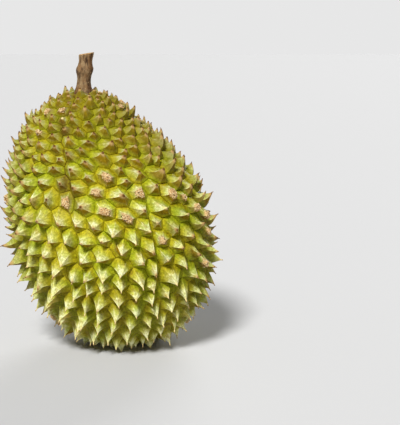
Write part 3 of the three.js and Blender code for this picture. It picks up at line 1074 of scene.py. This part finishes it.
def sharpenRidges(mesh):
    # a spine's own corners stay crisp however shallow it is
    ridge = np.zeros(len(mesh.vertices))
    mesh.attributes["ridge"].data.foreach_get("value", ridge)
    ends = np.zeros(len(mesh.edges) * 2, int)
    mesh.edges.foreach_get("vertices", ends)
    sharp = np.zeros(len(mesh.edges), bool)
    mesh.attributes["sharp_edge"].data.foreach_get("value", sharp)
    sharp |= (ridge[ends.reshape(-1, 2)] > 0.9).all(axis=1)
    mesh.attributes["sharp_edge"].data.foreach_set("value", sharp)


def addHusk():
    spines, pit = readSpines()
    measureHusk(spines)
    mesh = buildHusk(spines, pit)
    rough = addObject("husk_rough", mesh)
    skin = addObject("husk_skin", runTree(rough, wrinkleTree(), wrinkles, rindMaterial()))
    bpy.data.objects.remove(rough)
    for point in skin.data.vertices:
        point.co.z = max(0.0, point.co.z)  # nothing is lower than the worn flats
    skin.data.shade_smooth()
    skin.data.set_sharp_from_angle(angle=math.radians(rindFinish["sharpDegrees"]))
    sharpenRidges(skin.data)
    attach(skin, "root")
    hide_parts("husk")
    print("husk: skin has", countTriangles(skin), "triangles")
    addScabs(skin)
    addNibs(spines)


# Stalk: the frame's stalk made finer, with bark, lenticels and a cut end

stalkShape = {"Bark Depth": 0.7 * mm, "Bark Size": 3.2 * mm, "Seed": 5}
lenticels = {"Lenticels Per Square Metre": 60000.0, "Lenticel Size": 0.75 * mm, "Seed": 8}
lenticel = {"sides": 8, "rings": 5, "form": (1.0, 0.55, 0.28), "sizes": (0.45, 1.0), "roughness": 0.85}
cutEnd = {"facing": 0.7, "depth": 6 * mm, "crease": 0.75}
bark = {
    "brown": colour(122, 86, 50),
    "grey": colour(150, 124, 88),
    "dark": colour(62, 40, 22),
    "cutPale": colour(214, 176, 118),
    "cutDark": colour(150, 106, 60),
    "lenticel": colour(186, 156, 116),
}
barkGrain = {
    # how many marks of each kind stand in a metre, and how deep they are
    "blotches": 90,
    "streaks": 420,
    "streakDepth": 0.8 * mm,
    "cut": 520,
    "cork": 800,
    "fine": 1300,
    "relief": 0.2 * mm,
    "roughness": (0.2, 0.68),  # how much of the streaks, and of an even roughness
    "specular": 0.25,
}


def barkTree():
    tree, entry = openTree("stalk bark", stalkShape)
    scaled = addVectorMath(tree, "DIVIDE", addPosition(tree), entry.outputs["Bark Size"])
    shifted = addVectorMath(tree, "ADD", scaled, entry.outputs["Seed"])
    drawn = addVectorMath(tree, "MULTIPLY", shifted, (1, 1, 0.3))  # out along the stalk
    waves = addMath(tree, "SUBTRACT", addNoise(tree, drawn, 1.0, 3.0, 0.65), 0.5)
    depth = addProduct(tree, waves, addRest(tree, addNamed(tree, "cut")), entry.outputs["Bark Depth"])
    return closeTree(tree, entry, addRelief(tree, entry, depth))


def lenticelTree():
    tree, entry = openTree("lenticels", lenticels)
    seed = entry.outputs["Seed"]
    barked = addRest(tree, addNamed(tree, "cut"))
    density = addProduct(tree, barked, entry.outputs["Lenticels Per Square Metre"])
    size = addProduct(tree, addChance(tree, *lenticel["sizes"], seed), entry.outputs["Lenticel Size"])
    bead = addBead(tree, lenticel["sides"], lenticel["rings"])
    beads = addScattered(tree, entry, density, bead, addScaled(tree, lenticel["form"], size))
    return closeTree(tree, entry, beads)


def barkMaterial():
    material, tree, shader = startMaterial("stalk bark")
    place = addPlace(tree)
    along = addVectorMath(tree, "MULTIPLY", place, (1, 1, 0.25))
    streaks = addNoise(tree, along, barkGrain["streaks"], 4, 0.65, 0.4)
    blotches = addRange(tree, addNoise(tree, place, barkGrain["blotches"], 3, 0.6), 0.35, 0.65)
    skin = addMix(tree, blotches, bark["brown"], bark["grey"])
    skin = addMix(tree, addRange(tree, streaks, 0.56, 0.36), skin, bark["dark"])
    grains = addRange(tree, addNoise(tree, place, barkGrain["cut"], 2), 0.4, 0.6)
    wood = addMix(tree, grains, bark["cutDark"], bark["cutPale"])
    base = addMix(tree, addRange(tree, addAttribute(tree, "cut"), 0.4, 0.7), skin, wood)
    rough = addMath(tree, "MULTIPLY_ADD", streaks, *barkGrain["roughness"])
    relief = addBump(tree, addNoise(tree, place, barkGrain["fine"], 2), barkGrain["relief"], 0.4)
    relief = addBump(tree, streaks, barkGrain["streakDepth"], 0.7, relief)
    finishShader(tree, shader, base, rough, barkGrain["specular"], relief)
    return material


def lenticelMaterial():
    material, tree, shader = startMaterial("lenticel cork")
    cork = addRange(tree, addNoise(tree, addPlace(tree), barkGrain["cork"], 2), 0.35, 0.65)
    base = addMix(tree, cork, bark["brown"], bark["lenticel"])
    relief = addBump(tree, cork, barkGrain["relief"], 0.4)
    finishShader(tree, shader, base, lenticel["roughness"], 0.5, relief)
    return material


def fineStalk():
    form = mergedCopy("stalk")
    top = max(v.co.z for v in form.verts)
    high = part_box("stalk")[1]
    facing = [face for face in form.faces if face.normal.z > cutEnd["facing"]]
    cutFaces = [face for face in facing if face.calc_center_median().z > high.z - cutEnd["depth"]]
    ends = {v for f in cutFaces for v in f.verts}
    crease = form.edges.layers.float.new("crease_edge")
    for edge in form.edges:
        if sum(f in cutFaces for f in edge.link_faces) == 1:
            edge[crease] = cutEnd["crease"]
    mesh = bpy.data.meshes.new("stalk_rough")
    form.to_mesh(mesh)
    addMarks(mesh, "POINT", {"cut": [float(v in ends) for v in form.verts]})
    form.free()
    print("stalk: cut end at", round(top, 4), "m")
    return mesh


def addStalk():
    rough = addObject("stalk_rough", fineStalk())
    smooth = rough.modifiers.new("smooth", "SUBSURF")
    smooth.levels = smooth.render_levels = 2
    wood = addObject("stalk_wood", runTree(rough, barkTree(), stalkShape, barkMaterial()))
    beads = addObject("stalk_lenticels", runTree(wood, lenticelTree(), lenticels, lenticelMaterial()))
    bpy.data.objects.remove(rough)
    for piece in (wood, beads):
        piece.data.shade_smooth()
        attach(piece, "root")
    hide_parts("stalk")
    faces = [len(piece.data.polygons) for piece in (wood, beads)]
    print("stalk: wood has", faces[0], "faces and its lenticels", faces[1])


addHusk()
addStalk()


# Floor and light

studio = {
    "floorSize": 12.0,
    "floorRoughness": 0.9,
    "floor": colour(203, 203, 203),
    "lamps": {
        # the way towards each lamp, its spread in degrees, and its power
        "key": ((-0.26, -0.9, 1.0), 14, 3.95),
        "fill": ((0.9, -0.8, 0.35), 60, 0.12),
        "back": ((0.25, 0.95, 0.45), 30, 1.5),
    },
    "sky": (0.13, 0.13, 0.13, 1),
    "backdrop": (0.8, 0.8, 0.8, 1),
}


def addLight(name, way, spreadDegrees, power):
    data = bpy.data.lights.new(name, "SUN")
    data.angle = math.radians(spreadDegrees)
    data.energy = power
    lamp = bpy.data.objects.new(name, data)
    scene.collection.objects.link(lamp)
    lamp.rotation_euler = Vector(way).to_track_quat("Z", "Y").to_euler()


def addStudio():
    half = studio["floorSize"] / 2
    mesh = bpy.data.meshes.new("floor")
    corners = [(-half, -half, 0), (half, -half, 0), (half, half, 0), (-half, half, 0)]
    mesh.from_pydata(corners, [], [(0, 1, 2, 3)])
    floor = addObject("floor", mesh)
    material, tree, shader = startMaterial("floor paper")
    shader.inputs["Base Color"].default_value = studio["floor"]
    shader.inputs["Roughness"].default_value = studio["floorRoughness"]
    # clear from below, so that what stands on it can be seen
    below = tree.nodes.new("ShaderNodeNewGeometry").outputs["Backfacing"]
    clear = tree.nodes.new("ShaderNodeBsdfTransparent").outputs[0]
    either = addNode(tree, "ShaderNodeMixShader", {0: below, 1: shader.outputs[0], 2: clear})
    feed(tree, either.outputs[0], tree.nodes["Material Output"].inputs["Surface"])
    mesh.materials.append(material)
    for name, lamp in studio["lamps"].items():
        addLight(name, *lamp)
    world = bpy.data.worlds.new("studio")
    world.use_nodes = True
    room = world.node_tree
    # the room lights the fruit softly, and its wall is seen as a paler grey
    seen = room.nodes.new("ShaderNodeLightPath").outputs["Is Camera Ray"]
    grey = addMix(room, seen, studio["sky"], studio["backdrop"])
    feed(room, grey, room.nodes["Background"].inputs["Color"])
    scene.world = world
    scene.view_settings.view_transform = "Standard"
    print("studio: floor and three lights")


addStudio()
